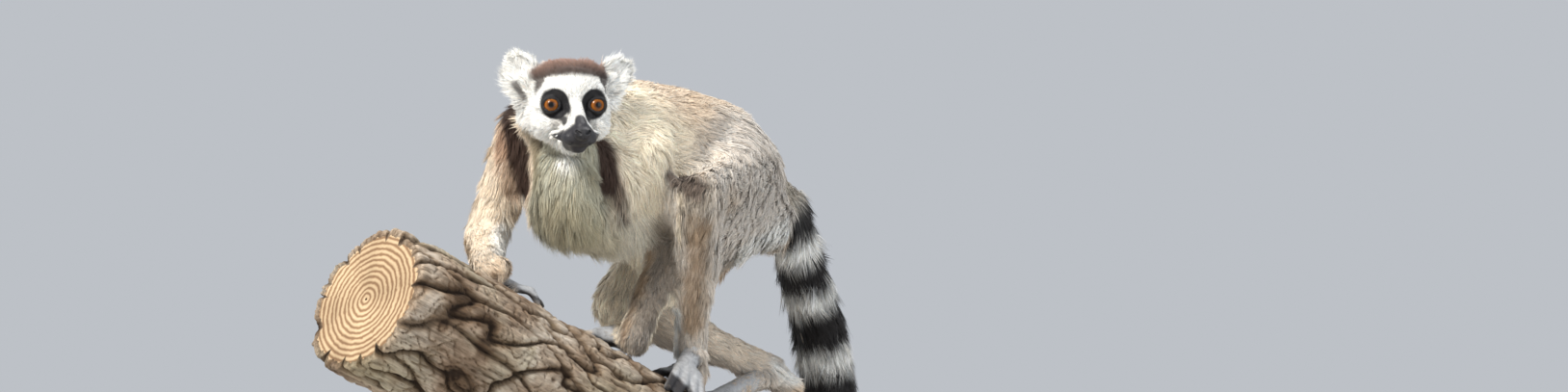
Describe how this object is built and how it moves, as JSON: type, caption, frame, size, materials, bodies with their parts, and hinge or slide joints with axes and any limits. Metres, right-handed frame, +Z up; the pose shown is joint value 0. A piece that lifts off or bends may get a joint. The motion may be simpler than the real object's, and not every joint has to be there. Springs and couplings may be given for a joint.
{
  "type": "ring-tailed lemur on a display stand",
  "caption": "Life-size ring-tailed lemur walking up a sloping cut length of branch, which two rods hold above a flat base.",
  "frame": {"origin": "centre of the stand base's underside", "axes": "+Z up, -Y the way the lemur walks, +X its left side"},
  "size_m": [0.3, 0.7224, 0.551],
  "materials": {
    "coat": "soft fur",
    "bare_skin": "matt skin",
    "eyes": "wet gloss",
    "bark": "rough bark",
    "base_wood": "satin",
    "rod_steel": "brushed"
  },
  "bodies": {
    "root": {"head": "coat", "neck": "coat", "chest": "coat", "abdomen": "coat", "rump": "coat", "ear_left": "coat", "ear_right": "coat", "upper_arm_left": "coat", "upper_arm_right": "coat", "forearm_left": "coat", "forearm_right": "coat", "thigh_left": "coat", "thigh_right": "coat", "shank_left": "coat", "shank_right": "coat", "tail_root": "coat", "tail_upper": "coat", "tail_middle": "coat", "tail_lower": "coat", "tail_tip": "coat", "hand_left": "bare_skin", "hand_right": "bare_skin", "foot_left": "bare_skin", "foot_right": "bare_skin", "eye_left": "eyes", "eye_right": "eyes", "perch_branch": "bark", "stand_base": "base_wood", "stand_rod_front": "rod_steel", "stand_rod_rear": "rod_steel"}
  },
  "joints": []
}
